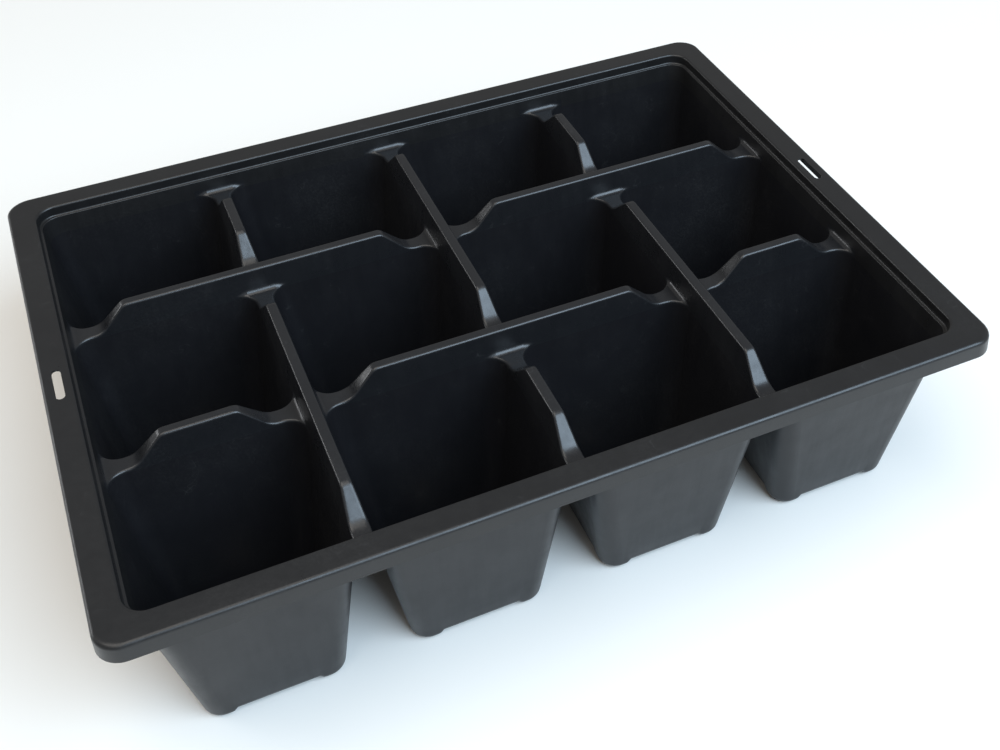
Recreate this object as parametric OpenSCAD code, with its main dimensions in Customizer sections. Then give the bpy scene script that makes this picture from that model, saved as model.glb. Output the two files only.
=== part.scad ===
// Twelve-cell plug tray, formed from one plastic sheet.
// The sheet is divided into its moulded regions, which meet face to face.
// Origin: centre of the footprint, on the surface that the cell feet stand on. Z is up.
// X runs along the long side (columns 1 to 4), Y from the front row to the back row.

/* [Overall] */
// Length of the tray over the rim
tray_l = 400; // [320:1:500]
// Width of the tray over the rim
tray_w = 300; // [240:1:380]
// Height from the feet to the top of the rim
tray_h = 103; // [70:1:130]
// Thickness of the sheet
sheet = 1; // [0.6:0.1:1.5]

/* [Rim] */
// Width of the flat rim
rim_w = 13.5; // [10:0.5:18]
// Radius of the rim's outer corners
rim_corner_r = 11; // [6:0.5:20]
// Radius of the rim's inner corners
mouth_corner_r = 9.5; // [6:0.5:16]
// Height of the hanging skirt, from the top of the rim
skirt_h = 8.5; // [5:0.5:14]

/* [Rim slots] */
// Length of the slot in each short side of the rim
slot_l = 20; // [10:1:30]
// Width of that slot
slot_w = 4; // [2:0.5:5]
// Distance from the rim's outer edge to the middle of the slot
slot_inset = 7.6; // [5:0.1:10]

/* [Shoulder] */
// Drop from the top of the rim to the ledge
ledge_drop = 5.5; // [3:0.5:8]
// Width of the ledge
ledge_w = 1.5; // [1:0.25:4]

/* [Dividers] */
// Width of a divider along its top
land_w = 5; // [4:0.5:8]
// Drop from the top of the rim to the top of the dividers
land_drop = 1; // [0:0.25:3]
// Drop from the top of the rim to the floor of the notches
notch_drop = 13.5; // [10:0.5:20]
// Distance from a wall to the top of a divider's sloping end
notch_reach = 28; // [20:1:32]
// Angle of the sloping ends from the horizontal
notch_angle = 45; // [35:1:60]

/* [Cells] */
// Draft of the cell walls from the vertical, in degrees
draft = 7.9; // [4:0.1:10]
// Radius of the cells' upright corners at the top
cell_r_top = 9; // [5:0.5:14]
// Radius of the cells' upright corners at the floor
cell_r_base = 8; // [4:0.5:12]

/* [Cell floor] */
// Height of the four corner feet of each cell
foot_h = 2; // [1:0.5:4]
// Side of each foot
foot_l = 13; // [9:0.5:16]
// Diameter of the drain hole in each cell
drain_d = 12; // [5:0.5:18]

/* [Hidden] */
cols = 4;
rows = 3;
row_names = ["front", "middle", "back"];

round_fn = 64;   // smoothness of the true arcs
corner_fn = 32;  // smoothness of the tapered corners
over = 1;        // how far a cutter runs past the face that it cuts
slice = 0.01;    // thickness of the two outlines that a tapered body is stretched between
step = 0.01;     // the plan sizes that follow from others are kept to whole steps

function snap(v) = round(v/step)*step;

// levels
z_top = tray_h;
z_land = z_top - land_drop;
z_ledge = z_top - ledge_drop;
z_web_top = z_top - notch_drop;
z_web = z_web_top - sheet;
z_floor = foot_h + sheet;

// plan sizes: the cells' walls lean in by lean for each millimetre of depth
lean = tan(draft);
mouth_x = tray_l - 2*rim_w;
mouth_y = tray_w - 2*rim_w;
field_x = mouth_x - 2*ledge_w + 2*(z_land - z_ledge)*lean;
field_y = mouth_y - 2*ledge_w + 2*(z_land - z_ledge)*lean;
pitch_x = snap((field_x + land_w)/cols);
pitch_y = snap((field_y + land_w)/rows);
cell_x = pitch_x - land_w;
cell_y = pitch_y - land_w;
ridge_run = snap((z_land - z_web_top)/tan(notch_angle));

// half sizes and corner radius of a cell's inner face at height z
function cell_hx(z) = snap(cell_x/2 - (z_land - z)*lean);
function cell_hy(z) = snap(cell_y/2 - (z_land - z)*lean);
function cell_r(z) = snap(cell_r_base + (cell_r_top - cell_r_base)*(z - z_floor)/(z_land - z_floor));

// half width of a divider at height z
function divider_half(z) = snap(land_w/2 + (z_land - z)*lean);

// middles of the cells, and of the dividers between them
function col_x(i) = (i - (cols - 1)/2)*pitch_x;
function row_y(j) = (j - (rows - 1)/2)*pitch_y;
function cross_x(i) = (i - cols/2)*pitch_x;
function line_y(j) = (j - rows/2)*pitch_y;

// A divider runs on through every second crossing, like a basket weave. At the others it
// stops on both sides. Crossing (i, j) is on cross divider i and row divider j, from 1.
function cross_runs(i, j) = (i + j) % 2 == 0;

// spans of the ridges: [divider number, first cell, last cell], counted along the divider
function spans(n, count, stops, at = 0) =
    at >= count ? [] :
    let (end = [for (k = [at:count - 1]) if (k == count - 1 || stops(n, k + 1)) k][0])
    concat([[n, at, end]], spans(n, count, stops, end + 1));
row_stops = function (j, i) cross_runs(i, j);
cross_stops = function (i, j) !cross_runs(i, j);
row_spans = [for (j = [1:rows - 1]) spans(j, cols, row_stops)];
cross_spans = [for (i = [1:cols - 1]) spans(i, rows, cross_stops)];

line_names = ["", "row_front", "row_back"];
function row_ridge_name(j, k) = str("ridge_", line_names[j], "_", k + 1);
function cross_ridge_name(i, k) = str("ridge_cross_", i, ["_front", "_back"][k]);
function cell_name(i, j) = str("cell_", row_names[j], "_", i + 1);

// a rectangle with round corners: a cross and four quarter discs
module rounded(hx, hy, r, fn = round_fn) {
    square([2*hx, 2*(hy - r)], center = true);
    square([2*(hx - r), 2*hy], center = true);
    for (turn = [0:3]) {
        reach = turn % 2 == 0 ? [hx, hy] : [hy, hx];
        rotate([0, 0, 90*turn]) translate([reach[0] - r, reach[1] - r]) intersection() {
            circle(r = r, $fn = fn);
            square(2*r);
        }
    }
}

// a frame between two rounded rectangles, standing from z0 to z1
module frame(hx, hy, r, in_hx, in_hy, in_r, z0, z1) {
    translate([0, 0, z0]) linear_extrude(z1 - z0) difference() {
        rounded(hx, hy, r);
        rounded(in_hx, in_hy, in_r);
    }
}

// a body with rounded corners that tapers from size b at z0 to size t at z1; sizes are [hx, hy, r]
module tapered(b, t, z0, z1) {
    hull() {
        translate([0, 0, z0]) linear_extrude(slice) rounded(b[0], b[1], b[2], corner_fn);
        translate([0, 0, z1 - slice]) linear_extrude(slice) rounded(t[0], t[1], t[2], corner_fn);
    }
}

// size of a cell's faces at height z, moved outwards by grow
function cell_size(z, grow = 0) = [cell_hx(z) + grow, cell_hy(z) + grow, cell_r(z) + grow];

// size of the shoulder's face at height z, moved outwards by grow
function field_size(z, grow = 0) =
    [(cols - 1)/2*pitch_x + cell_hx(z) + grow, (rows - 1)/2*pitch_y + cell_hy(z) + grow,
     cell_r(z) + grow];

module rim_slot() {
    for (s = [-1, 1]) translate([0, s*(slot_l - slot_w)/2, 0])
        cylinder(d = slot_w, h = sheet + 2*over, $fn = round_fn);
    translate([-slot_w/2, -(slot_l - slot_w)/2, 0])
        cube([slot_w, slot_l - slot_w, sheet + 2*over]);
}

module rim_flange() {
    color("#33363b") difference() {
        frame(tray_l/2, tray_w/2, rim_corner_r, mouth_x/2, mouth_y/2, mouth_corner_r,
              z_top - sheet, z_top);
        for (s = [-1, 1])
            translate([s*(tray_l/2 - slot_inset), 0, z_top - sheet - over]) rim_slot();
    }
}

module rim_skirt() {
    color("#2b2e33")
    frame(tray_l/2, tray_w/2, rim_corner_r,
          tray_l/2 - sheet, tray_w/2 - sheet, rim_corner_r - sheet,
          z_top - skirt_h, z_top - sheet);
}

// drop wall, ledge and the drafted wall that stands on the web
module rim_shoulder() {
    lip = z_ledge - sheet;
    face = field_size(z_ledge);
    color("#2b2e33") union() {
        frame(mouth_x/2 + sheet, mouth_y/2 + sheet, mouth_corner_r + sheet,
              mouth_x/2, mouth_y/2, mouth_corner_r, z_ledge, z_top - sheet);
        frame(mouth_x/2 + sheet, mouth_y/2 + sheet, mouth_corner_r + sheet,
              face[0], face[1], face[2], lip, z_ledge);
        difference() {
            tapered(field_size(z_web_top, sheet), field_size(lip, sheet), z_web_top, lip);
            tapered(field_size(z_web_top - over), field_size(lip + over), z_web_top - over, lip + over);
        }
    }
}

// the hollow under a ridge, at the level of the web
module ridge_slot(long) {
    gap = divider_half(z_web_top) - sheet;
    square([long - 2*sheet, 2*gap], center = true);
}

// all that stands between the cells at the level of the notch floors
module web() {
    edge = field_size(z_web, sheet);
    color("#3a3f47") translate([0, 0, z_web]) linear_extrude(sheet) difference() {
        rounded(edge[0], edge[1], edge[2]);
        for (i = [0:cols - 1], j = [0:rows - 1])
            translate([col_x(i), row_y(j)])
                rounded(cell_hx(z_web), cell_hy(z_web), cell_r(z_web));
        for (line = row_spans) for (s = line) place_row_ridge(s) ridge_slot(row_ridge_length(s));
        for (line = cross_spans) for (s = line) place_cross_ridge(s) ridge_slot(cross_ridge_length(s));
    }
}

// a ridge as a solid block along X: its foot is long, its sides lean as the cells' walls do
module ridge_block(long, shrink) {
    half = land_w/2 - shrink;
    foot = divider_half(z_web_top) - shrink;
    top = z_land - shrink;
    run = ridge_run*(top - z_web_top)/(z_land - z_web_top);
    low = shrink > 0 ? over : 0;
    intersection() {
        translate([0, foot + over, 0]) rotate([90, 0, 0]) linear_extrude(2*(foot + over))
            polygon([[-long/2 + shrink, z_web_top - low], [long/2 - shrink, z_web_top - low],
                     [long/2 - shrink, z_web_top], [long/2 - shrink - run, top],
                     [-long/2 + shrink + run, top], [-long/2 + shrink, z_web_top]]);
        rotate([90, 0, 90]) translate([0, 0, -long/2 - over]) linear_extrude(long + 2*over)
            polygon([[-foot, z_web_top - low], [foot, z_web_top - low], [foot, z_web_top],
                     [half, top], [-half, top], [-foot, z_web_top]]);
    }
}

// an inverted channel with sloping ends, open below
module ridge(long) {
    color("#40444b") difference() {
        ridge_block(long, 0);
        ridge_block(long, sheet);
    }
}

// A ridge ends notch_reach from the wall that it faces, measured at the top of its slope.
// Its foot is longer by the run of the slope at each end.
function row_ridge_length(s) =
    (s[2] - s[1])*pitch_x + cell_x - 2*notch_reach + 2*ridge_run;
function cross_ridge_length(s) =
    (s[2] - s[1])*pitch_y + cell_y - 2*notch_reach + 2*ridge_run;
module place_row_ridge(s) {
    translate([(col_x(s[1]) + col_x(s[2]))/2, line_y(s[0]), 0]) children();
}
module place_cross_ridge(s) {
    translate([cross_x(s[0]), (row_y(s[1]) + row_y(s[2]))/2, 0]) rotate([0, 0, 90]) children();
}

// one cell: drafted walls, four hollow corner feet, crossing channels below and a drain hole
module cell() {
    base_x = cell_hx(0) + sheet - foot_l;
    base_y = cell_hy(0) + sheet - foot_l;
    color("#2f3339") difference() {
        tapered(cell_size(0, sheet), cell_size(z_web, sheet), 0, z_web);
        difference() {
            tapered(cell_size(sheet), cell_size(z_web + over), sheet, z_web + over);
            for (half = [[base_x + sheet, cell_hy(0) + over], [cell_hx(0) + over, base_y + sheet]])
                translate([-half[0], -half[1], 0]) cube([2*half[0], 2*half[1], z_floor]);
        }
        for (half = [[base_x, cell_hy(0) + 2*over], [cell_hx(0) + 2*over, base_y]])
            translate([-half[0], -half[1], -over]) cube([2*half[0], 2*half[1], foot_h + over]);
        translate([0, 0, foot_h - over]) cylinder(d = drain_d, h = sheet + 2*over, $fn = round_fn);
    }
}

rim_flange();
rim_skirt();
rim_shoulder();
web();
for (j = [1:rows - 1]) for (k = [0:len(row_spans[j - 1]) - 1])
    place_row_ridge(row_spans[j - 1][k]) ridge(row_ridge_length(row_spans[j - 1][k]));
for (i = [1:cols - 1]) for (k = [0:len(cross_spans[i - 1]) - 1])
    place_cross_ridge(cross_spans[i - 1][k]) ridge(cross_ridge_length(cross_spans[i - 1][k]));
for (j = [0:rows - 1]) for (i = [0:cols - 1])
    translate([col_x(i), row_y(j), 0]) cell();
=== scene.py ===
"""Black plug tray: one thermoformed sheet, shown as the moulded regions that the frame names.

The upper face of the sheet is built first, as one smooth skin for the whole tray. Every fold is a
rounded one. The skin is then cut into pieces along straight stretches of wall, and each piece gets
the sheet's thickness, so neighbouring pieces meet with no seam. Lengths are in millimetres until a
mesh is made, and the sizes come from the frame.
"""
import math

import bmesh
import bpy
import numpy as np
from mathutils import Euler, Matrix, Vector
from mathutils.geometry import tessellate_polygon


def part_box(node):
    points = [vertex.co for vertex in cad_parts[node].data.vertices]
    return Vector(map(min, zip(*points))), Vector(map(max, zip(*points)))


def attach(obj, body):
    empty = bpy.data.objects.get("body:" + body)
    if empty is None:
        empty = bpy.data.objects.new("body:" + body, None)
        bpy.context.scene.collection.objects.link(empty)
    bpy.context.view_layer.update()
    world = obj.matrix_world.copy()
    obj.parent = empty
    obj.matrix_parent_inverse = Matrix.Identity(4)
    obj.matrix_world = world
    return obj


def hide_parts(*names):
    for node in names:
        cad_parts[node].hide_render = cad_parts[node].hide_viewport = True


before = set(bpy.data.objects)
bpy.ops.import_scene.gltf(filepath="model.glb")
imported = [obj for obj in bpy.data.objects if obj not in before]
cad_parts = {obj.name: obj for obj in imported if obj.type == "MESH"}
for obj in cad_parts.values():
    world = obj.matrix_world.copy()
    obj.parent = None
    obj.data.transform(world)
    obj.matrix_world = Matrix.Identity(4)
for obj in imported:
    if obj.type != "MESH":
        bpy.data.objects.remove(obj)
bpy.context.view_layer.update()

MM = 0.001


def box_mm(node):
    """Lowest and highest corner of a CAD node, in millimetres."""
    low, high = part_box(node)
    return np.array(low) / MM, np.array(high) / MM


# ---------------------------------------------------------------- sizes read from the frame
_, flange_high = box_mm("rim_flange")
skirt_low, _ = box_mm("rim_skirt")
_, shoulder_high = box_mm("rim_shoulder")
web_low, web_high = box_mm("web")
cell_low, cell_high = box_mm("cell_front_1")
short_ridge_low, short_ridge_high = box_mm("ridge_row_front_1")

COLUMNS, ROWS = 4, 3
ROW_NAMES = ["front", "middle", "back"]
Z_RIM = flange_high[2]
Z_SKIRT = skirt_low[2]
Z_LAND = short_ridge_high[2]
Z_NOTCH = web_high[2]
SHEET = web_high[2] - web_low[2]
HALF_OUT = flange_high[:2]
HALF_MOUTH = shoulder_high[:2] - SHEET
RIM_W = HALF_OUT[0] - HALF_MOUTH[0]
PITCH = np.array([
    box_mm("cell_front_2")[0][0] - cell_low[0],
    box_mm("cell_middle_1")[0][1] - cell_low[1],
])

# ---------------------------------------------------------------- sizes of the moulding itself
DRAFT = math.radians(7.9)
LEAN = math.tan(DRAFT)
Z_FLOOR = 3 * SHEET          # upper face of a cell's floor, over the drain channels
FOOT_LIFT = Z_FLOOR - SHEET  # how much lower the floor is inside the feet
LEDGE_DROP = 5.5
LEDGE_W = 1.5
CELL_R_TOP, CELL_R_BASE = 9.0, 8.0
MOUTH_R, OUTER_R = 9.5, 11.0
FOOT_SIDE = 13.0
DRAIN_R = 6.0
SLOT_LENGTH, SLOT_WIDTH, SLOT_INSET = 20.0, 4.0, 7.6
DROP_WALL_LEAN = 0.15         # how far the wall inside the rim leans
SKIRT_FLARE = math.radians(3)

half_cell_mid = (cell_high[:2] - cell_low[:2]) / 2 - SHEET    # inner half size at the cell's cut
HALF_CELL = half_cell_mid + (Z_LAND - cell_high[2]) * LEAN    # and at the level of the lands
LAND_HALF = float(np.mean(PITCH / 2 - HALF_CELL))
RIDGE_RUN = Z_LAND - Z_NOTCH                                  # the ends slope at 45 degrees
ridge_length = short_ridge_high[0] - short_ridge_low[0]
NOTCH_REACH = HALF_CELL[0] + RIDGE_RUN - ridge_length / 2

# ---------------------------------------------------------------- roundings and mesh density
FOLD_R = 1.3        # outward folds: edges of lands, notches, cells' mouths
NOOK_R = 3.0        # inward folds, where a wall rises from a notch's floor
FOOT_BEND_R = 10.0  # bend along a divider's top where its slope leaves the notch
HEAD_BEND_R = 5.0   # and where its slope reaches the level top
FLOOR_R = 3.5       # inside of a cell, wall to floor
LEDGE_R, LEDGE_NOOK_R = 0.4, 0.9  # edge of the ledge, and where the drop wall rises from it
LIP_R, EDGE_R = 1.2, 2.0          # inner and outer edge of the rim
FOLD_DROP = 1.35    # a fold's mesh starts this far below its edge
Z_CUT = Z_NOTCH - FOLD_DROP - 0.15    # cells end here, and the top begins
Z_NOOK_TOP = Z_NOTCH + 0.95 * NOOK_R  # ridges and shoulder begin here, above the nook
FOLD_STEPS, NOOK_STEPS, TOP_STEPS, ARC_STEPS = 5, 7, 4, 5
BEND_STEPS = 4
EDGE_ROWS_OF_FLANGE = 4       # of the rolled edge's rows; the skirt has the others
SLOT_SPARE_ALONG, SLOT_SPARE_ACROSS = 2.0, 3.0  # flange remade: past a slot's end, from its middle
SLOT_END_POINTS = 11
CELL_RING_HEIGHTS = (66.0, 46.0, 28.0, 18.0, 14.0, 10.0, 7.0, 5.0)
FLOOR_BEND_RINGS, FLOOR_RINGS = 8, 14
FOOT_FADE = (3.0, 14.0)       # heights between which the feet fade into the wall
FOOT_EDGE = (-0.2, 2.2)       # a foot's step, from its inner edge
MERGE_PER_MM = 500            # places are rounded to 1/500 mm to find the ones that coincide
TINY = 1e-12


def wall_at(z):
    """Distance of a wall from the middle of its divider at height z."""
    return LAND_HALF + (Z_LAND - z) * LEAN


def radius_at(z):
    """Radius of a cell's upright corners at height z."""
    return CELL_R_BASE + (CELL_R_TOP - CELL_R_BASE) * (z - Z_FLOOR) / (Z_LAND - Z_FLOOR)


def resample(points, steps, weights=None):
    """Points at even steps along a line; a stretch with a small weight gets fewer of them."""
    points = np.asarray(points, float)
    lengths = np.linalg.norm(np.diff(points, axis=0), axis=1)
    if weights is not None:
        lengths = lengths * weights
    along = np.concatenate([[0], np.cumsum(lengths)])
    places = np.linspace(0, along[-1], steps + 1)
    return np.stack([np.interp(places, along, points[:, k]) for k in range(points.shape[1])], 1)


def outward_arc(end, radius, start_angle, end_angle, steps=8):
    """Arc in (across, z) that bends down from start_angle to end_angle and arrives at end."""
    cx, cz = end[0] + radius * math.sin(end_angle), end[1] - radius * math.cos(end_angle)
    return [(cx - radius * math.sin(a), cz + radius * math.cos(a))
            for a in np.linspace(start_angle, end_angle, steps + 1)]


def inward_arc(start, radius, start_angle, end_angle, steps=8):
    """Arc in (across, z) that leaves start and bends up from start_angle to end_angle."""
    cx, cz = start[0] - radius * math.sin(start_angle), start[1] + radius * math.cos(start_angle)
    return [(cx + radius * math.sin(a), cz - radius * math.cos(a))
            for a in np.linspace(start_angle, end_angle, steps + 1)]


def fold(wall, tilt, z_edge, end_angle=0.0):
    """From a wall, over a rounded fold, to height z_edge: points (distance from the divider, z).

    wall is the wall's distance at z_edge, tilt its angle from the vertical, and end_angle the
    climb that is left at the end, which is nought where a level face follows."""
    psi = math.pi / 2 - tilt
    out = FOLD_R * (1 - math.cos(psi - end_angle)) / math.sin(psi)
    arc = outward_arc((out, z_edge), FOLD_R, psi, end_angle)
    foot = (-FOLD_DROP * math.tan(tilt), z_edge - FOLD_DROP)
    return [(wall - a, z) for a, z in resample([foot] + arc, FOLD_STEPS)]


def step_angle(gap, tilt_low, tilt_high):
    """Climb at the middle of a step between two walls that are gap apart, nought if it is level."""
    low, high = math.pi / 2 - tilt_low, math.pi / 2 - tilt_high

    def reach(angle):
        return (FOLD_R * (1 - math.cos(low - angle)) / math.sin(low)
                + NOOK_R * (1 - math.cos(high - angle)) / math.sin(high))

    if gap >= reach(0):
        return 0.0
    bottom, top = 0.0, min(low, high)
    for _ in range(40):
        middle = (bottom + top) / 2
        if reach(middle) > gap:
            bottom = middle
        else:
            top = middle
    return (bottom + top) / 2


def step(wall_low, tilt_low, wall_high):
    """From a cell's wall, over the notch floor, up to the wall behind it: points (distance, z)."""
    gap = wall_low - wall_high
    angle = step_angle(gap, tilt_low, DRAFT)
    first = fold(wall_low, tilt_low, Z_NOTCH, angle)
    psi = math.pi / 2 - DRAFT
    out = NOOK_R * (1 - math.cos(psi - angle)) / math.sin(psi)
    start = (wall_high + out, Z_NOTCH)
    arc = [(wall_high + out - a, z) for a, z in inward_arc((0, Z_NOTCH), NOOK_R, angle, psi)]
    line = [first[-1], start] + arc[1:] + [(wall_at(Z_NOOK_TOP), Z_NOOK_TOP)]
    weights = [0.3] + [1.0] * (len(line) - 2)
    second = resample(line, NOOK_STEPS, weights)
    return np.array(list(first) + list(second[1:]))


# ---------------------------------------------------------------- the skin
class Skin:
    """A surface that grows patch by patch. Points that coincide are one vertex."""

    def __init__(self):
        self.points, self.index, self.faces, self.tags = [], {}, [], []

    def vertex(self, p):
        key = tuple(np.round(np.asarray(p, float) * MERGE_PER_MM).astype(int))
        if key not in self.index:
            self.index[key] = len(self.points)
            self.points.append(np.asarray(p, float))
        return self.index[key]

    def face(self, corners, tag):
        ring = [self.vertex(p) for p in corners]
        ring = [v for k, v in enumerate(ring) if v != ring[k - 1]]
        if len(ring) > 2:
            self.faces.append(ring)
            self.tags.append(tag)

    def grid(self, lines, tag):
        """Quads between neighbouring lines, each a list of points. tag is a name or a function
        of the line's and the point's number."""
        for i in range(len(lines) - 1):
            for j in range(len(lines[i]) - 1):
                name = tag(i, j) if callable(tag) else tag
                corners = lines[i][j], lines[i + 1][j], lines[i + 1][j + 1], lines[i][j + 1]
                self.face(corners, name)


SLOPE_FOOT, SLOPE_HEAD = LAND_HALF + NOTCH_REACH - RIDGE_RUN, LAND_HALF + NOTCH_REACH
FOOT_BEND, HEAD_BEND = (r * math.tan(math.pi / 8) for r in (FOOT_BEND_R, HEAD_BEND_R))


def divider_height(v):
    """Height of a divider's top at distance v from the crossing's middle: notch, slope, top."""
    if v <= SLOPE_FOOT - FOOT_BEND:
        return Z_NOTCH
    if v < SLOPE_FOOT + FOOT_BEND * math.sqrt(0.5):
        past = v - SLOPE_FOOT + FOOT_BEND
        return Z_NOTCH + FOOT_BEND_R - math.sqrt(FOOT_BEND_R ** 2 - past ** 2)
    if v <= SLOPE_HEAD - HEAD_BEND * math.sqrt(0.5):
        return Z_NOTCH + v - SLOPE_FOOT
    if v < SLOPE_HEAD + HEAD_BEND:
        left = SLOPE_HEAD + HEAD_BEND - v
        return Z_LAND - HEAD_BEND_R + math.sqrt(HEAD_BEND_R ** 2 - left ** 2)
    return Z_LAND


def straight_places(middle):
    """Places of the mesh lines along the straight stretch of a cell's side, from the corner on."""
    low_bend = np.linspace(SLOPE_FOOT - FOOT_BEND, SLOPE_FOOT + FOOT_BEND * math.sqrt(0.5),
                           BEND_STEPS + 3)
    high_bend = np.linspace(SLOPE_HEAD - HEAD_BEND * math.sqrt(0.5), SLOPE_HEAD + HEAD_BEND,
                            BEND_STEPS + 1)
    slot_edge = middle - SLOT_LENGTH / 2 - SLOT_SPARE_ALONG
    places = [*low_bend, (low_bend[-1] + high_bend[0]) / 2, *high_bend, slot_edge,
              (slot_edge + middle) / 2, middle]
    return sorted(places)


def corner_point(angle, z):
    """Point of a cell's rounded corner, measured from the crossing's middle."""
    r = radius_at(z)
    c = wall_at(z) + r
    return c - r * math.cos(angle), c - r * math.sin(angle)


def other_coordinate(known, z):
    """Second coordinate of the rounded corner's point whose first coordinate is known."""
    r = radius_at(z)
    c = wall_at(z) + r
    return c - math.sqrt(max(r * r - (c - known) ** 2, 0.0))


Z_START = Z_NOTCH - FOLD_DROP    # where the folds' mesh starts at the notch level


def corner_tilt(known):
    low, high = other_coordinate(known, Z_START), other_coordinate(known, Z_NOTCH)
    return math.atan((low - high) / FOLD_DROP), high


def rim_rows():
    """Shoulder and rim: rows of (distance inwards from the crossing's line, z, radius, part)."""
    psi = math.pi / 2 - DRAFT
    z_ledge = Z_RIM - LEDGE_DROP
    ledge_wall = wall_at(z_ledge)
    mouth = ledge_wall - LEDGE_W
    out = LEDGE_R * (1 - math.cos(psi)) / math.sin(psi)
    shoulder = [(wall_at(z), z) for z in (Z_NOOK_TOP, z_ledge - 2.0)]
    shoulder += [(ledge_wall - a, z) for a, z in outward_arc((out, z_ledge), LEDGE_R, psi, 0, 4)]
    climb = math.pi / 2 - math.atan(DROP_WALL_LEAN / (LEDGE_DROP - LIP_R))
    nook = inward_arc((0, z_ledge), LEDGE_NOOK_R, 0, climb, 4)
    nook_end = nook[-1][0]
    shoulder += [(mouth + DROP_WALL_LEAN + nook_end - a, z) for a, z in nook]
    lip = outward_arc((0, Z_RIM), LIP_R, climb, 0, 5)
    lip_start = lip[0][0]
    flange = [(mouth + lip_start - a, z) for a, z in lip]
    outer = mouth - RIM_W
    slot_middle = outer + SLOT_INSET
    for across in (slot_middle + SLOT_SPARE_ACROSS, slot_middle, slot_middle - SLOT_SPARE_ACROSS):
        flange.append((across, Z_RIM))
    down = outward_arc((0, 0), EDGE_R, 0, -(math.pi / 2 - SKIRT_FLARE), 6)
    fall = down[0][1] - down[-1][1]
    skirt_fall = (Z_RIM - fall - Z_SKIRT) * math.tan(SKIRT_FLARE)
    edge = outer + skirt_fall
    over = [(edge + (down[-1][0] - a), Z_RIM - (down[0][1] - z)) for a, z in down]
    skirt = [over[-1], (outer + skirt_fall * 0.5, (over[-1][1] + Z_SKIRT) / 2),
             (outer, Z_SKIRT)]
    rows = [(v, z, "rim_shoulder") for v, z in shoulder]
    rows += [(v, z, "rim_flange") for v, z in flange + over[:EDGE_ROWS_OF_FLANGE]]
    rows += [(v, z, "rim_skirt") for v, z in over[EDGE_ROWS_OF_FLANGE:] + skirt[1:]]

    def corner_radius(v):
        if v >= mouth:
            share = min(1.0, (v - mouth) / LEDGE_W)
            return MOUTH_R + (radius_at(z_ledge) - MOUTH_R) * share
        return MOUTH_R + (OUTER_R - MOUTH_R) * (mouth - v) / RIM_W

    return [(v, z, radius_at(z) if z < z_ledge - 0.5 and v > mouth else corner_radius(v), part)
            for v, z, part in rows]


RIM = rim_rows()


# ---------------------------------------------------------------- what lies between the cells
def column_x(i):
    return (i - (COLUMNS - 1) / 2) * PITCH[0]


def row_y(j):
    return (j - (ROWS - 1) / 2) * PITCH[1]


RIDGES = {name: box_mm(name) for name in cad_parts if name.startswith("ridge_")}


def ridge_at(x, y):
    """Name of the ridge that stands over a place, or None."""
    for name, (low, high) in RIDGES.items():
        if low[0] < x < high[0] and low[1] < y < high[1]:
            return name
    return None


def runs_along_x(name):
    low, high = RIDGES[name]
    return high[0] - low[0] > high[1] - low[1]


class Quadrant:
    """A quarter of a cell's square: from the crossing at its corner to the cell's middle.

    Local places are (u, v) from the crossing's middle. The divider along u runs on through the
    crossing, or is the shoulder, and the one along v stops there in a notch."""

    def __init__(self, i, j, side_x, side_y):
        self.side = np.array([side_x, side_y])
        self.middle = np.array([column_x(i), row_y(j)])
        self.crossing = self.middle + self.side * PITCH / 2
        at_end = i == (0 if side_x < 0 else COLUMNS - 1)
        at_front = j == (0 if side_y < 0 else ROWS - 1)
        self.tray_corner = at_end and at_front
        through = None if at_end or at_front else ridge_at(*self.crossing)
        self.swap = at_end if through is None else not runs_along_x(through)
        self.shoulder = through is None
        axis_u, axis_v = (1, 0) if self.swap else (0, 1)
        self.u_end, self.v_end = PITCH[axis_u] / 2, PITCH[axis_v] / 2
        self.through = through
        beside = self.crossing.copy()
        beside[axis_v] = self.middle[axis_v]
        self.stopped = None if self.tray_corner else ridge_at(*beside)
        beside = self.crossing.copy()
        beside[axis_u] = self.middle[axis_u]
        self.along = None if self.shoulder else ridge_at(*beside)

    def place(self, u, v, z):
        local = np.array([v, u] if self.swap else [u, v])
        return np.array([*(self.crossing - self.side * local), z])


WALL_LEVELS = [*np.linspace(Z_START, Z_NOTCH, FOLD_STEPS + 1),
               *np.linspace(Z_NOTCH, Z_NOOK_TOP, NOOK_STEPS + 1)[1:]]


def lower_wall(place, ring_point):
    """Mesh line on a straight wall, from the cells' cut up to the start of the ridge."""
    return [ring_point] + [place(wall_at(z), z) for z in WALL_LEVELS]


def upper_line(place, shoulder):
    """Mesh line across a ridge from its start up to its middle, or over the shoulder and rim."""
    if shoulder:
        return [place(v, z) for v, z, _, _ in RIM]
    line = [place(wall_at(Z_NOOK_TOP), Z_NOOK_TOP)]
    over = fold(wall_at(Z_LAND), DRAFT, Z_LAND)
    line += [place(v, z) for v, z in over]
    return line + [place(v, Z_LAND) for v in np.linspace(over[-1][0], 0, TOP_STEPS + 1)[1:]]


def notched_line(place, v):
    """Mesh line across a divider that stops here: wall, fold and top, to its middle."""
    height = divider_height(v)
    over = fold(wall_at(height), DRAFT, height)
    line = [place(wall_at(Z_CUT), Z_CUT)] + [place(a, z) for a, z in over]
    return line + [place(a, height) for a in np.linspace(over[-1][0], 0, TOP_STEPS + 1)[1:]]


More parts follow.
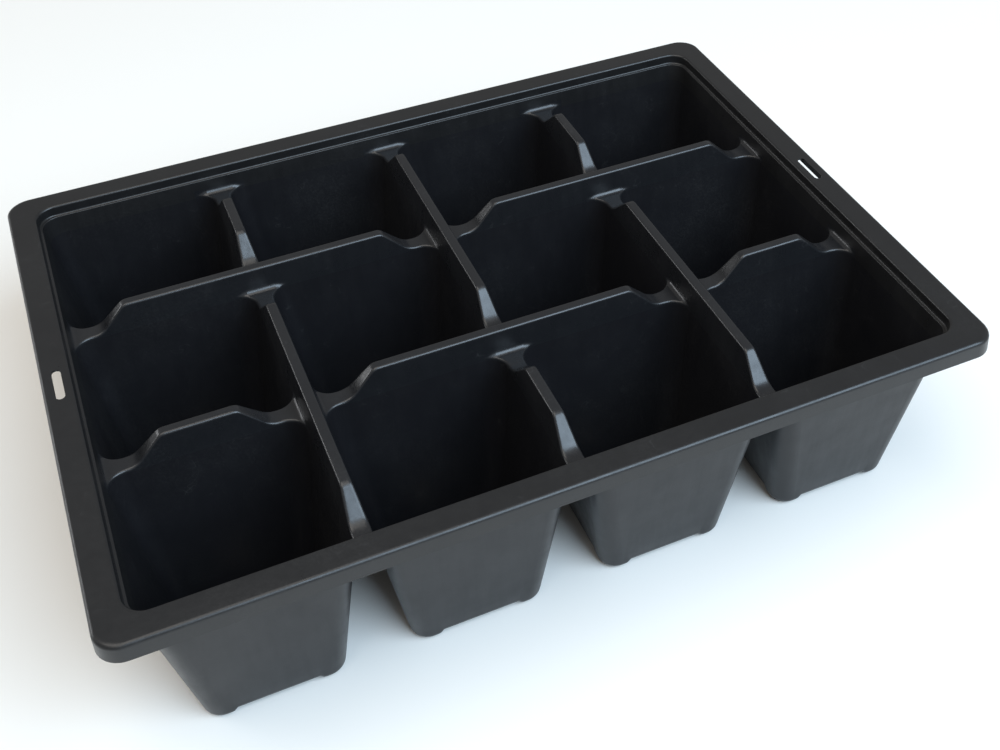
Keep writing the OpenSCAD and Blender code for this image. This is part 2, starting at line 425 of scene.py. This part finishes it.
def build_quadrant(skin, q):
    """Adds a quadrant's patches to the skin, each tagged with the piece it belongs to."""
    c = corner_point(0, Z_START)[1]
    rim_tag = (lambda i, j: RIM[j + 1][3]) if q.shoulder else None
    places_u = [c] + straight_places(q.u_end)
    places_v = [c] + straight_places(q.v_end)
    quarter = np.linspace(0, math.pi / 4, ARC_STEPS + 1)
    wall_tag = "rim_shoulder" if q.shoulder else q.along

    if q.tray_corner:
        for swapped in (False, True):
            def place(u, v, z, swapped=swapped):
                return q.place(v, u, z) if swapped else q.place(u, v, z)
            def straight(u, rows, first):
                return [place(r + w if first else u, w, z) for w, z, r in rows]
            low = [(wall_at(z), z, radius_at(z)) for z in [Z_CUT, *WALL_LEVELS]]
            high = [(v, z, r) for v, z, r, _ in RIM]
            lines = [places_v, places_u][0 if swapped else 1]
            skin.grid([straight(u, low, k == 0) for k, u in enumerate(lines)], "rim_shoulder")
            skin.grid([straight(u, high, k == 0) for k, u in enumerate(lines)],
                      lambda i, j: RIM[j + 1][3])
        angles = np.linspace(0, math.pi / 2, 2 * ARC_STEPS + 1)
        def bend(a, rows):
            return [q.place(w + r - r * math.cos(a), w + r - r * math.sin(a), z)
                    for w, z, r in rows]
        skin.grid([bend(a, low) for a in angles], "rim_shoulder")
        skin.grid([bend(a, high) for a in angles], lambda i, j: RIM[j + 1][3])
        return

    # the divider that stops: its notch, slope and land, up to the middle of the cell's side
    def across(v):
        return lambda w, z: q.place(w, v, z)
    lines = [notched_line(across(v), v) for v in places_v]
    lines[0][0] = q.place(*corner_point(0, Z_CUT), Z_CUT)
    slope_foot = places_v[1]
    skin.grid(lines[:-1],
              lambda i, j: "web" if places_v[i + 1] <= slope_foot + 1e-6 else q.stopped)
    mate = other_half_runs(q)
    if mate:
        rest_low, rest_high = lines[-2:]
        seam = [across(q.v_end)(wall_at(z), z) for z in WALL_LEVELS]
        skin.face([rest_low[0], rest_high[0], *seam, rest_high[1], rest_low[1]], q.stopped)
        skin.grid([rest_low[1:], rest_high[1:]], q.stopped)
    else:
        skin.grid(lines[-2:], q.stopped)

    # rounded corner, the half beside the divider that stops
    side_b = []
    for angle in quarter:
        start = corner_point(angle, Z_START)
        tilt, wall = corner_tilt(start[1])
        over = fold(wall, tilt, Z_NOTCH)
        over[0] = (start[0], Z_START)
        floor = [(a, Z_NOTCH) for a in np.linspace(over[-1][0], 0, TOP_STEPS + 1)[1:]]
        profile = over + floor
        side_b.append((start[1], profile))
    lines = []
    for k, (v, profile) in enumerate(side_b):
        ring = q.place(*corner_point(quarter[k], Z_CUT), Z_CUT)
        lines.append([ring] + [q.place(a, v, z) for a, z in profile])
    lines[0] = [q.place(*corner_point(0, Z_CUT), Z_CUT)] + notched_line(across(c), c)[1:]
    skin.grid(lines, "web")

    # the half beside the wall that runs through: over the floor and up that wall
    side_a = []
    for angle in quarter:
        mirrored = math.pi / 2 - angle
        start = corner_point(mirrored, Z_START)
        if angle == 0:
            profile = [(wall_at(z), z) for z in WALL_LEVELS]
        else:
            tilt, wall = corner_tilt(start[0])
            profile = [tuple(p) for p in step(wall, tilt, wall_at(Z_NOTCH))]
            profile[0] = (start[1], Z_START)
        side_a.append((start[0], profile, mirrored))
    lines = [[q.place(*corner_point(m, Z_CUT), Z_CUT)] + [q.place(u, a, z) for a, z in profile]
             for u, profile, m in side_a]
    skin.grid(lines, "web")

    # the square between them, where the notch floor meets the wall that runs through
    diagonal_a, diagonal_b = side_a[-1][1], side_b[-1][1]
    depth = Z_NOTCH - diagonal_a[0][1]
    patch = []
    for a, z_a in diagonal_a:
        drop_a, rise = max(Z_NOTCH - z_a, 0), max(z_a - Z_NOTCH, 0)
        patch.append([q.place(b, a, Z_NOTCH + rise - drop_a * max(Z_NOTCH - z_b, 0) / depth)
                      for b, z_b in diagonal_b])
    skin.grid(patch, "web")

    # the wall that runs through: lower part beside the cell, then the ridge or the shoulder and rim
    def beside(u):
        return lambda w, z: q.place(u, w, z)
    lines = [lower_wall(beside(u), q.place(u, wall_at(Z_CUT), Z_CUT)) for u in places_u]
    lines[0][0] = q.place(*corner_point(math.pi / 2, Z_CUT), Z_CUT)
    skin.grid(lines, wall_tag)
    crossing = [b for b, _ in diagonal_b][::-1] + [u for u, _, _ in side_a[::-1]][1:]
    upper = [upper_line(beside(u), q.shoulder) for u in crossing + places_u[1:]]
    skin.grid(upper, rim_tag if q.shoulder else q.through)


def other_half_runs(q):
    """Whether the divider that stops here runs on through the crossing at its other end."""
    far = q.crossing.copy()
    axis = 0 if q.swap else 1
    far[axis] = 2 * q.middle[axis] - q.crossing[axis]
    limit = (COLUMNS if axis == 0 else ROWS) * PITCH[axis] / 2
    if abs(far[axis]) > limit - 1:
        return False
    name = ridge_at(*far)
    return name is not None and runs_along_x(name) == (axis == 0)


def cut_slots(skin):
    """Replaces the flange's faces round each slot by faces that leave the slot open."""
    half = SLOT_LENGTH / 2 - SLOT_WIDTH / 2
    for side in (-1, 1):
        x = side * (HALF_OUT[0] - SLOT_INSET)
        kept, removed = [], []
        for face, tag in zip(skin.faces, skin.tags):
            centre = np.mean([skin.points[v] for v in face], axis=0)
            inside = (abs(centre[0] - x) < SLOT_SPARE_ACROSS
                      and abs(centre[1]) < SLOT_LENGTH / 2 + SLOT_SPARE_ALONG
                      and abs(centre[2] - Z_RIM) < 1e-6)
            (removed if inside else kept).append((face, tag))
        edges = {}
        for face, _ in removed:
            for a, b in zip(face, face[1:] + face[:1]):
                edges[frozenset((a, b))] = edges.get(frozenset((a, b)), 0) + 1
        around = [tuple(e) for e, n in edges.items() if n == 1]
        ring = [around[0][0], around[0][1]]
        while len(ring) < len(around):
            ring.append(next(b if a == ring[-1] else a for a, b in around
                             if ring[-1] in (a, b) and ring[-2] not in (a, b)))
        outline = []
        for end in (1, -1):
            for a in np.linspace(0, math.pi, SLOT_END_POINTS):
                outline.append(np.array([x + end * SLOT_WIDTH / 2 * math.cos(a),
                                         end * (half + SLOT_WIDTH / 2 * math.sin(a)), Z_RIM]))
        loops = [[Vector(skin.points[v]) for v in ring], [Vector(p) for p in outline]]
        flat = loops[0] + loops[1]
        skin.faces, skin.tags = [f for f, _ in kept], [t for _, t in kept]
        for triangle in tessellate_polygon(loops):
            skin.face([flat[k] for k in triangle], "rim_flange")


def cell_skin():
    """The upper face of one cell below its cut, with its middle at the origin."""
    skin = Skin()
    quarters = []
    for side_x, side_y in ((1, 1), (-1, 1), (-1, -1), (1, -1)):
        angles = np.linspace(0, math.pi / 2, 2 * ARC_STEPS + 1)
        on_y_wall = [("x", PITCH[1] / 2 - v) for v in straight_places(PITCH[1] / 2)[::-1]]
        on_x_wall = [("y", PITCH[0] / 2 - u) for u in straight_places(PITCH[0] / 2)]
        arc = [("arc", a) for a in angles]
        line = on_y_wall + arc + on_x_wall
        if side_x * side_y < 0:
            line = line[::-1]
        quarters.append((side_x, side_y, line))
    half_cut = PITCH / 2 - wall_at(Z_CUT)
    reach_cut = half_cut - radius_at(Z_CUT)

    def ring(half, r, z_of):
        """One closed mesh line of the wall: half sizes, corner radius and height."""
        points = []
        for side_x, side_y, line in quarters:
            for kind, t in line:
                if kind == "arc":
                    x = half[0] - r + r * math.cos(t)
                    y = half[1] - r + r * math.sin(t)
                elif kind == "x":
                    x, y = half[0], t * (half[1] - r) / reach_cut[1]
                else:
                    x, y = t * (half[0] - r) / reach_cut[0], half[1]
                points.append(np.array([side_x * x, side_y * y, 0.0]))
        points = [p for k, p in enumerate(points) if np.linalg.norm(p - points[k - 1]) > 1e-6]
        for p in points:
            p[2] = z_of(p)
        return points

    foot_inner = PITCH / 2 - wall_at(0) + SHEET - FOOT_SIDE

    def channel(p):
        """1 over a drain channel, 0 inside a foot, smooth between them."""
        share = [smooth(abs(p[k]), foot_inner[k] + FOOT_EDGE[0], foot_inner[k] + FOOT_EDGE[1])
                 for k in (0, 1)]
        return 1 - share[0] * share[1]

    def lifted(z):
        fade = 1 - smooth(z, *FOOT_FADE)
        return lambda p: z + FOOT_LIFT * fade * channel(p)

    rings = []
    for z in (Z_CUT, *CELL_RING_HEIGHTS):
        rings.append(ring(PITCH / 2 - wall_at(z), radius_at(z), lifted(z)))
    turn = math.pi / 2 - DRAFT
    bend_z = SHEET + FLOOR_R * (1 - math.cos(turn))
    bend_half = PITCH / 2 - wall_at(bend_z)
    for angle in np.linspace(turn, 0, FLOOR_BEND_RINGS):
        inwards = FLOOR_R * (math.sin(turn) - math.sin(angle))
        z = SHEET + FLOOR_R * (1 - math.cos(angle))
        rings.append(ring(bend_half - inwards, radius_at(bend_z) - inwards, lifted(z)))
    edge = rings[-1]
    edge_x, edge_y = max(p[0] for p in edge), max(p[1] for p in edge)
    for share in np.linspace(0, 1, FLOOR_RINGS)[1:]:
        line = []
        for p in edge:
            out = math.atan2(p[1] / edge_y, p[0] / edge_x)
            hole = np.array([DRAIN_R * math.cos(out), DRAIN_R * math.sin(out), 0.0])
            blend_to = p * (1 - share) + hole * share
            blend_to[2] = SHEET + FOOT_LIFT * channel(blend_to)
            line.append(blend_to)
        rings.append(line)
    closed = [line + [line[0]] for line in rings]
    skin.grid(closed, "cell")
    return skin


def smooth(x, low, high):
    """0 below low, 1 above high, an S-curve between them."""
    t = min(max((x - low) / (high - low), 0.0), 1.0)
    return t * t * (3 - 2 * t)


# ---------------------------------------------------------------- from skin to closed pieces
def face_normal(points, face):
    """Area-weighted normal of a flat face, by Newell's rule."""
    p = points[face]
    return 0.5 * np.cross(p, np.roll(p, -1, axis=0)).sum(axis=0)


def turn_up(skin):
    """Makes every face of the skin face the same way as its neighbours, and the whole face up."""
    mesh = bpy.data.meshes.new("turning")
    mesh.from_pydata([tuple(p) for p in skin.points], [], skin.faces)
    bm = bmesh.new()
    bm.from_mesh(mesh)
    bmesh.ops.recalc_face_normals(bm, faces=bm.faces)
    bm.faces.ensure_lookup_table()
    up = sum(f.normal.z * f.calc_area() for f in bm.faces) > 0
    skin.faces = [[v.index for v in f.verts][::1 if up else -1] for f in bm.faces]
    bm.free()
    bpy.data.meshes.remove(mesh)


def vertex_normals(points, faces):
    """Normals of the vertices, weighted by area and angle, so that large flat faces stay flat."""
    total = np.zeros_like(points)
    for face in faces:
        n = face_normal(points, face)
        p = points[face]
        ahead, back = np.roll(p, -1, axis=0) - p, np.roll(p, 1, axis=0) - p
        cosine = (ahead * back).sum(1) / np.maximum(
            np.linalg.norm(ahead, axis=1) * np.linalg.norm(back, axis=1), TINY)
        np.add.at(total, face, n[None, :] * np.arccos(np.clip(cosine, -1, 1))[:, None])
    return total / np.maximum(np.linalg.norm(total, axis=1), TINY)[:, None]


def closed_piece(name, points, normals, faces, material):
    """A closed piece of the sheet: the upper faces, the lower ones and the cut edges."""
    used = sorted({v for face in faces for v in face})
    new = {v: k for k, v in enumerate(used)}
    count = len(used)
    top = points[used]
    low = top - SHEET * normals[used]
    upper = [[new[v] for v in face] for face in faces]
    lower = [[v + count for v in face[::-1]] for face in upper]
    edges = dict.fromkeys((a, b) for face in upper for a, b in zip(face, face[1:] + face[:1]))
    sides = [[b, a, a + count, b + count] for a, b in edges if (b, a) not in edges]
    everything = np.vstack([top, low])
    directions = np.vstack([normals[used], -normals[used]])
    all_faces = upper + lower + sides
    corner_normals = []
    for k, face in enumerate(all_faces):
        if k < len(upper) + len(lower):
            corner_normals += [directions[v] for v in face]
        else:
            n = face_normal(everything, face)
            corner_normals += [n / max(np.linalg.norm(n), TINY)] * len(face)
    mesh = bpy.data.meshes.new(name)
    mesh.from_pydata([tuple(p * MM) for p in everything], [], all_faces)
    mesh.polygons.foreach_set("use_smooth", [True] * len(mesh.polygons))
    mesh.normals_split_custom_set([tuple(n) for n in corner_normals])
    mesh.materials.append(material)
    obj = bpy.data.objects.new(name, mesh)
    bpy.context.scene.collection.objects.link(obj)
    return obj, np.array(corner_normals)


# ---------------------------------------------------------------- the sheet's finish
SHEET_IOR = 1.47
SCUFF_PALENESS = 0.12    # how much a scuff takes the colour towards the dust's
DUST_ROUGHENS = 0.4      # how much dust and scuffs add to the roughness


def nodes_of(material):
    material.use_nodes = True
    tree = material.node_tree
    shader = tree.nodes["Principled BSDF"]
    return tree, shader


def noise(tree, place, scale, detail, roughness=0.5):
    node = tree.nodes.new("ShaderNodeTexNoise")
    node.inputs["Scale"].default_value = scale
    node.inputs["Detail"].default_value = detail
    node.inputs["Roughness"].default_value = roughness
    tree.links.new(place, node.inputs["Vector"])
    return node.outputs["Fac"]


def spread(tree, value, low, high, out_low, out_high):
    node = tree.nodes.new("ShaderNodeMapRange")
    for socket, number in (("From Min", low), ("From Max", high),
                           ("To Min", out_low), ("To Max", out_high)):
        node.inputs[socket].default_value = number
    tree.links.new(value, node.inputs["Value"])
    return node.outputs["Result"]


def math_node(tree, kind, a, b):
    node = tree.nodes.new("ShaderNodeMath")
    node.operation = kind
    for socket, value in zip(node.inputs, (a, b)):
        if isinstance(value, (int, float)):
            socket.default_value = value
        else:
            tree.links.new(value, socket)
    return node.outputs[0]


def drawn_out(tree, place, scale):
    """Coordinates stretched down the walls, as the sheet is when it is drawn into the mould."""
    node = tree.nodes.new("ShaderNodeMapping")
    node.inputs["Scale"].default_value = scale
    tree.links.new(place, node.inputs["Vector"])
    return node.outputs["Vector"]


def bump(tree, height, strength, distance, below=None):
    node = tree.nodes.new("ShaderNodeBump")
    node.inputs["Strength"].default_value = strength
    node.inputs["Distance"].default_value = distance
    tree.links.new(height, node.inputs["Height"])
    if below is not None:
        tree.links.new(below, node.inputs["Normal"])
    return node.outputs["Normal"]


def black_sheet(name, colour, dusty, roughness, dust_amount, shine):
    """Thermoformed black polystyrene: a satin skin with a fine grain, faint waves and some dust."""
    material = bpy.data.materials.new(name)
    tree, shader = nodes_of(material)
    place = tree.nodes.new("ShaderNodeTexCoord").outputs["Object"]
    cloud = noise(tree, place, scale=14, detail=4, roughness=0.6)
    speck = noise(tree, place, scale=900, detail=2, roughness=0.6)
    grain = noise(tree, place, scale=2600, detail=2, roughness=0.5)
    wave = noise(tree, place, scale=30, detail=1, roughness=0.4)
    smear = noise(tree, place, scale=70, detail=5, roughness=0.65)
    draw = noise(tree, drawn_out(tree, place, (240, 240, 10)), scale=1, detail=3, roughness=0.55)
    hair = noise(tree, drawn_out(tree, place, (45, 30, 60)), scale=1, detail=3, roughness=0.6)
    line = math_node(tree, "ABSOLUTE", math_node(tree, "SUBTRACT", hair, 0.5), 0)
    scuff = math_node(tree, "MULTIPLY", spread(tree, line, 0.0, 0.005, 1, 0),
                      spread(tree, smear, 0.5, 0.62, 0, 1))
    dust = math_node(tree, "MULTIPLY", spread(tree, cloud, 0.45, 0.75, 0, dust_amount),
                     spread(tree, speck, 0.45, 0.7, 0.2, 1.0))
    pale = math_node(tree, "ADD", dust, math_node(tree, "MULTIPLY", scuff, SCUFF_PALENESS))
    mix = tree.nodes.new("ShaderNodeMix")
    mix.data_type = "RGBA"
    mix.inputs["A"].default_value = (*colour, 1)
    mix.inputs["B"].default_value = (*dusty, 1)
    tree.links.new(pale, mix.inputs["Factor"])
    tree.links.new(mix.outputs["Result"], shader.inputs["Base Color"])
    rough = math_node(tree, "ADD",
                      spread(tree, smear, 0.3, 0.7, roughness - 0.05, roughness + 0.06),
                      math_node(tree, "MULTIPLY", pale, DUST_ROUGHENS))
    rough = math_node(tree, "ADD", rough, spread(tree, draw, 0.35, 0.65, -0.03, 0.03))
    tree.links.new(rough, shader.inputs["Roughness"])
    shader.inputs["IOR"].default_value = SHEET_IOR
    shader.inputs["Specular IOR Level"].default_value = shine
    waves = bump(tree, wave, strength=0.35, distance=0.0012)
    marks = bump(tree, draw, strength=0.3, distance=0.00012, below=waves)
    finish = bump(tree, grain, strength=0.15, distance=0.00008, below=marks)
    tree.links.new(finish, shader.inputs["Normal"])
    return material


def plain_floor(name):
    material = bpy.data.materials.new(name)
    tree, shader = nodes_of(material)
    place = tree.nodes.new("ShaderNodeTexCoord").outputs["Object"]
    cloud = noise(tree, place, scale=3, detail=2)
    ramp = tree.nodes.new("ShaderNodeMix")
    ramp.data_type = "RGBA"
    ramp.inputs["A"].default_value = (0.85, 0.83, 0.79, 1)
    ramp.inputs["B"].default_value = (0.87, 0.85, 0.81, 1)
    tree.links.new(cloud, ramp.inputs["Factor"])
    tree.links.new(ramp.outputs["Result"], shader.inputs["Base Color"])
    shader.inputs["Roughness"].default_value = 0.7
    return material


# ---------------------------------------------------------------- twelve cells from one, on a grid
def grid_tree():
    tree = bpy.data.node_groups.new("cells_on_grid", "GeometryNodeTree")
    face = tree.interface
    face.new_socket("Cell", in_out="INPUT", socket_type="NodeSocketGeometry")
    for name, kind in (("Columns", "NodeSocketInt"), ("Rows", "NodeSocketInt"),
                       ("Pitch X", "NodeSocketFloat"), ("Pitch Y", "NodeSocketFloat"),
                       ("Finish", "NodeSocketMaterial")):
        face.new_socket(name, in_out="INPUT", socket_type=kind)
    face.new_socket("Cells", in_out="OUTPUT", socket_type="NodeSocketGeometry")
    new = tree.nodes.new
    source, out = new("NodeGroupInput"), new("NodeGroupOutput")
    grid = new("GeometryNodeMeshGrid")
    for count, pitch, size, vertices in (("Columns", "Pitch X", "Size X", "Vertices X"),
                                         ("Rows", "Pitch Y", "Size Y", "Vertices Y")):
        gaps = new("ShaderNodeMath")
        gaps.operation = "SUBTRACT"
        gaps.inputs[1].default_value = 1
        tree.links.new(source.outputs[count], gaps.inputs[0])
        length = new("ShaderNodeMath")
        length.operation = "MULTIPLY"
        tree.links.new(gaps.outputs[0], length.inputs[0])
        tree.links.new(source.outputs[pitch], length.inputs[1])
        tree.links.new(length.outputs[0], grid.inputs[size])
        tree.links.new(source.outputs[count], grid.inputs[vertices])
    place, real, paint = (new(kind) for kind in (
        "GeometryNodeInstanceOnPoints", "GeometryNodeRealizeInstances", "GeometryNodeSetMaterial"))
    tree.links.new(grid.outputs["Mesh"], place.inputs["Points"])
    tree.links.new(source.outputs["Cell"], place.inputs["Instance"])
    tree.links.new(place.outputs["Instances"], real.inputs["Geometry"])
    tree.links.new(real.outputs["Geometry"], paint.inputs["Geometry"])
    tree.links.new(source.outputs["Finish"], paint.inputs["Material"])
    tree.links.new(paint.outputs["Geometry"], out.inputs["Cells"])
    return tree


def array_of_cells(cell, finish):
    """The cell's mesh repeated over the grid by Geometry Nodes, as one plain mesh."""
    tree = grid_tree()
    modifier = cell.modifiers.new("cells_on_grid", "NODES")
    modifier.node_group = tree
    values = {"Columns": COLUMNS, "Rows": ROWS, "Pitch X": PITCH[0] * MM, "Pitch Y": PITCH[1] * MM,
              "Finish": finish}
    for item in tree.interface.items_tree:
        if item.in_out == "INPUT" and item.name in values:
            modifier[item.identifier] = values[item.name]
    bpy.context.view_layer.update()
    evaluated = cell.evaluated_get(bpy.context.evaluated_depsgraph_get())
    mesh = bpy.data.meshes.new_from_object(evaluated)
    cell.modifiers.remove(modifier)
    return mesh


def split_cells(mesh, cell, corner_normals, finish):
    """One object for each cell of the array, named after its CAD node."""
    count = len(cell.data.vertices)
    faces = [list(p.vertices) for p in cell.data.polygons]
    places = np.zeros(len(mesh.vertices) * 3)
    mesh.vertices.foreach_get("co", places)
    places = places.reshape(-1, count, 3)
    made = []
    for points in places:
        middle = (points.min(0) + points.max(0)) / 2 / MM
        i = round(float(middle[0] / PITCH[0] + (COLUMNS - 1) / 2))
        j = round(float(middle[1] / PITCH[1] + (ROWS - 1) / 2))
        name = f"cell_{ROW_NAMES[j]}_{i + 1}"
        one = bpy.data.meshes.new(name + "_shell")
        one.from_pydata([tuple(p) for p in points], [], faces)
        one.polygons.foreach_set("use_smooth", [True] * len(one.polygons))
        one.normals_split_custom_set([tuple(n) for n in corner_normals])
        one.materials.append(finish)
        obj = bpy.data.objects.new(name + "_shell", one)
        bpy.context.scene.collection.objects.link(obj)
        made.append((obj, name))
    return made


# ---------------------------------------------------------------- build
sheet_top = black_sheet("black_sheet_rim", colour=(0.0105, 0.0105, 0.011),
                        dusty=(0.08, 0.08, 0.08), roughness=0.33, dust_amount=0.10, shine=0.5)
sheet_divider = black_sheet("black_sheet_dividers", colour=(0.010, 0.0105, 0.012),
                            dusty=(0.09, 0.09, 0.09), roughness=0.30, dust_amount=0.12, shine=0.55)
# The cells' colour is darker than the rim's, which paints the shade inside the deep cells. It is
# also a little bluer, which paints the bluish light that the cups reflect.
cell_sheet_painted_shade = black_sheet("black_sheet_cells_painted_shade", colour=(0.009, 0.009, 0.0105),
                         dusty=(0.08, 0.08, 0.075), roughness=0.35, dust_amount=0.12, shine=0.39)

skin = Skin()
for j in range(ROWS):
    for i in range(COLUMNS):
        for side_x in (-1, 1):
            for side_y in (-1, 1):
                build_quadrant(skin, Quadrant(i, j, side_x, side_y))
cut_slots(skin)
turn_up(skin)
points = np.array(skin.points)
normals = vertex_normals(points, skin.faces)

pieces = []
for name in sorted(set(skin.tags)):
    faces = [f for f, tag in zip(skin.faces, skin.tags) if tag == name]
    finish = sheet_top if name.startswith("rim") else sheet_divider
    piece, _ = closed_piece(name + "_sheet", points, normals, faces, finish)
    pieces.append((piece, name))

one_cell = cell_skin()
turn_up(one_cell)
cell_points = np.array(one_cell.points)
cell_normals = vertex_normals(cell_points, one_cell.faces)
cell, cell_corners = closed_piece("cell_pattern", cell_points, cell_normals, one_cell.faces,
                                  cell_sheet_painted_shade)
array = array_of_cells(cell, cell_sheet_painted_shade)
pieces += split_cells(array, cell, cell_corners, cell_sheet_painted_shade)
bpy.data.objects.remove(cell)
bpy.data.meshes.remove(array)

for piece, node in pieces:
    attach(piece, "root")
    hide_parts(node)

# ---------------------------------------------------------------- floor, light and camera
FLOOR_SIZE = 12
FLOOR_DROP = 0.0002    # keeps the floor clear of the undersides of the feet
bpy.ops.mesh.primitive_plane_add(size=FLOOR_SIZE, location=(0, 0, -FLOOR_DROP))
floor = bpy.context.object
floor.name = "floor"
floor.data.materials.append(plain_floor("pale_floor"))


def soft_light(name, place, aim, size, power, colour):
    data = bpy.data.lights.new(name, "AREA")
    data.shape = "RECTANGLE"
    data.size, data.size_y = size
    data.energy = power
    data.color = colour
    lamp = bpy.data.objects.new(name, data)
    lamp.location = place
    lamp.rotation_euler = (Vector(aim) - Vector(place)).to_track_quat("-Z", "Y").to_euler()
    bpy.context.scene.collection.objects.link(lamp)
    return lamp


soft_light("window", place=(0.80, -1.45, 1.65), aim=(0, 0, 0.05), size=(1.9, 1.5), power=72,
           colour=(0.64, 0.82, 1.0))
soft_light("overhead", place=(-0.9, -0.3, 3.2), aim=(0, 0, 0.05), size=(2.6, 2.6), power=54,
           colour=(1.0, 0.95, 0.88))
soft_light("back_left", place=(-2.0, 1.6, 0.75), aim=(0, 0, 0.08), size=(1.0, 0.6), power=10,
           colour=(0.95, 0.97, 1.0))
world = bpy.data.worlds.new("studio")
bpy.context.scene.world = world
world.use_nodes = True
world.node_tree.nodes["Background"].inputs["Color"].default_value = (1.0, 0.98, 0.95, 1)
world.node_tree.nodes["Background"].inputs["Strength"].default_value = 0.34

camera_data = bpy.data.cameras.new("camera")
camera = bpy.data.objects.new("camera", camera_data)
bpy.context.scene.collection.objects.link(camera)
SENSOR_WIDTH, LENS = 36, 47.06
SHIFT_X, SHIFT_Y = -0.0851, -0.0860
CAMERA_PLACE = Vector((-0.1491, -0.4706, Z_RIM * MM + 0.4005))
AZIMUTH, ELEVATION, ROLL = math.radians(-24.09), math.radians(40.30), math.radians(-0.70)
back = Vector((math.sin(AZIMUTH) * math.cos(ELEVATION), -math.cos(AZIMUTH) * math.cos(ELEVATION),
               math.sin(ELEVATION)))
turn = (-back).to_track_quat("-Z", "Y") @ Euler((0, 0, ROLL)).to_quaternion()
camera_data.sensor_width, camera_data.lens = SENSOR_WIDTH, LENS
camera_data.shift_x, camera_data.shift_y = SHIFT_X, SHIFT_Y
camera.location = CAMERA_PLACE
camera.rotation_euler = turn.to_euler()
bpy.context.scene.camera = camera
bpy.context.scene.view_settings.view_transform = "Standard"
